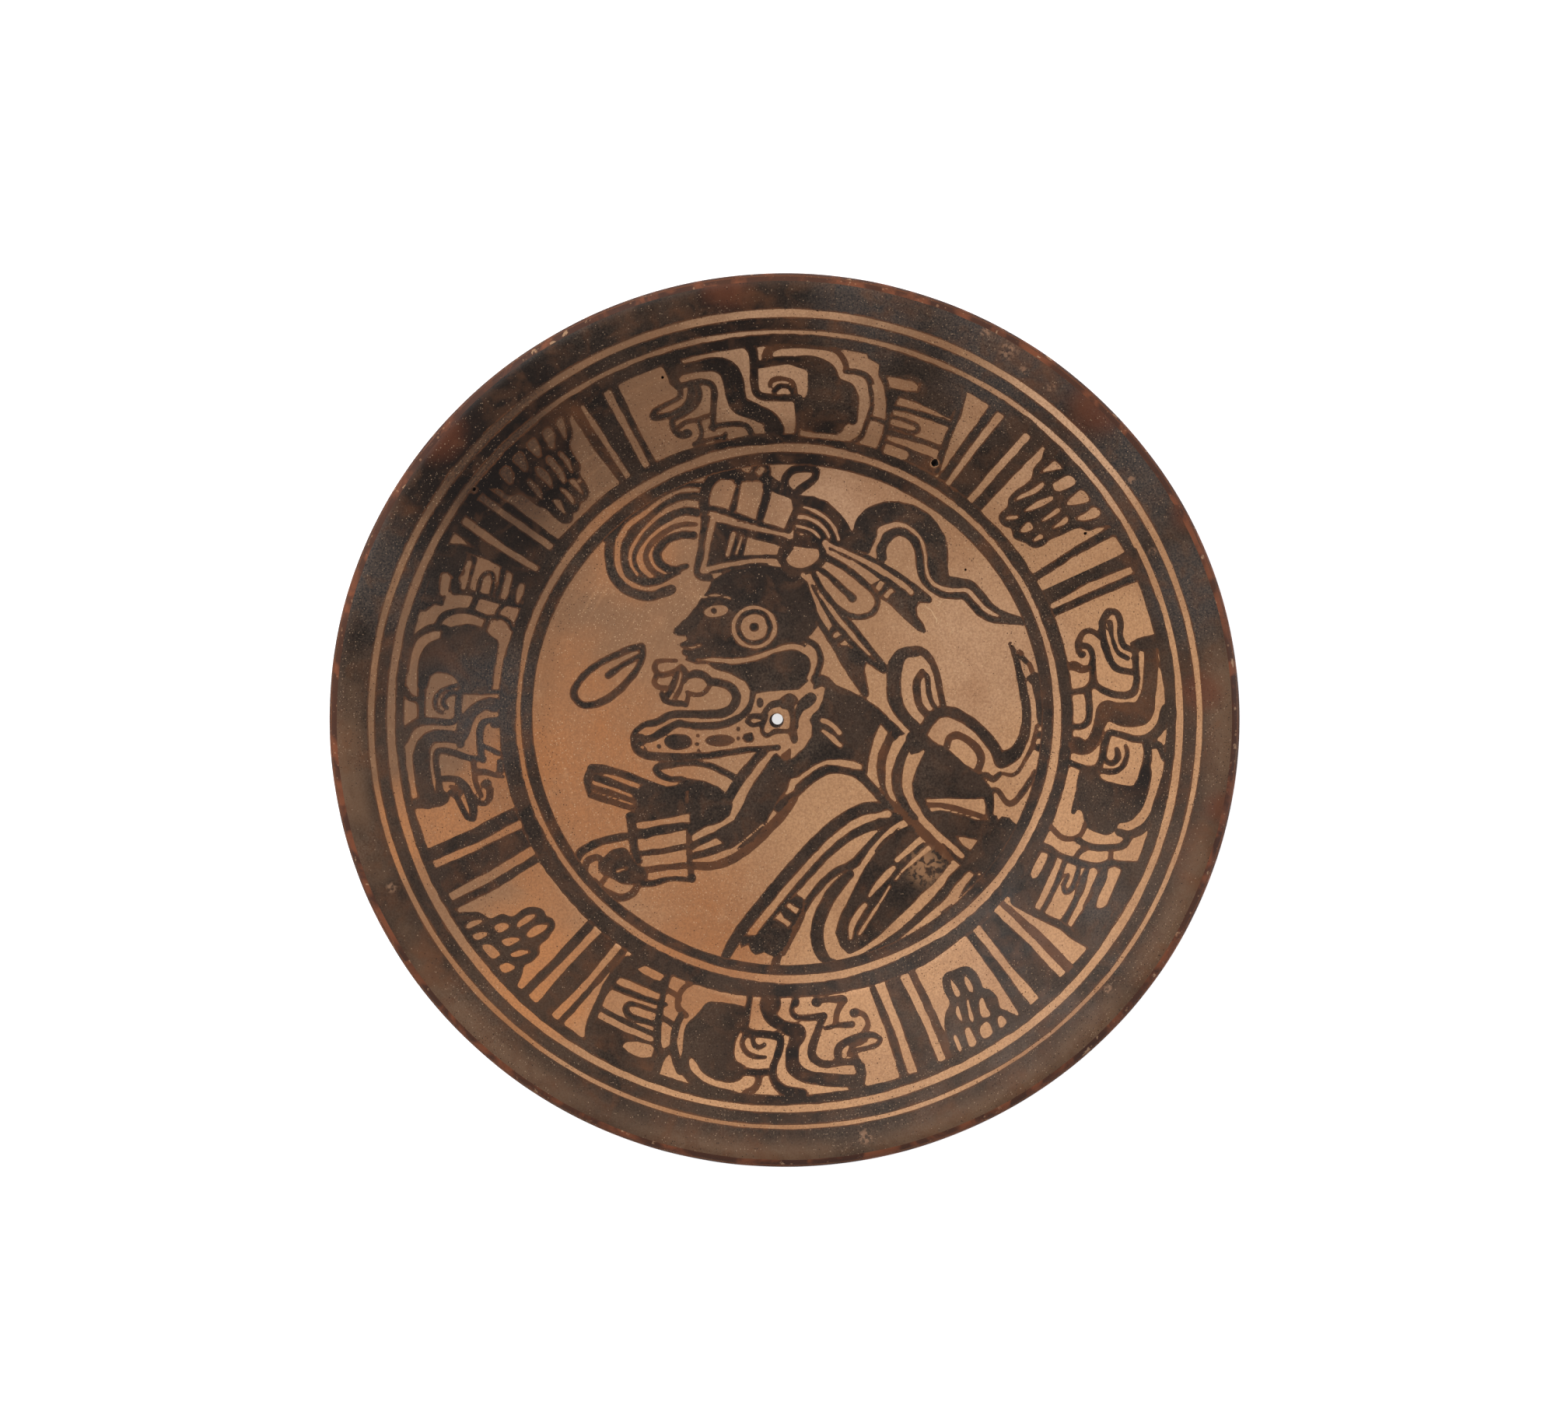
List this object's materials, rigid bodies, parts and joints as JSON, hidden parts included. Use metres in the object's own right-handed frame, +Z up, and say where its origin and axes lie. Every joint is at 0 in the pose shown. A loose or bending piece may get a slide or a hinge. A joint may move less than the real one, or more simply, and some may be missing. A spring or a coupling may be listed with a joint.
{
  "type": "polychrome pottery plate",
  "caption": "Shallow round pottery plate with a flat base, sloping wall and flared rim, slipped buff inside and red outside, painted with dark rings and a framed frieze, and drilled through.",
  "frame": {"origin": "middle of the flat resting face under the floor, which is the bottom middle of the bounding box", "axes": "+Z up along the plate's axis, out of the dish; +Y to the top of the painted face; +X to its right"},
  "size_m": [0.33, 0.3246, 0.0461],
  "materials": {
    "fired_clay": "matt, bare fired earthenware",
    "buff_slip": "burnished slip, satin",
    "red_slip": "burnished slip, satin, worn on the lip",
    "dark_slip": "burnished slip, satin"
  },
  "bodies": {
    "root": {"floor_slab": "fired_clay", "lower_wall_coil": "fired_clay", "upper_wall_coil": "fired_clay", "rim_coil": "fired_clay", "inner_buff_slip": "buff_slip", "outer_red_slip": "red_slip", "rim_band_paint": "dark_slip", "outer_ring_paint": "dark_slip", "frieze_frame_paint": "dark_slip", "medallion_ring_paint": "dark_slip"}
  },
  "joints": []
}
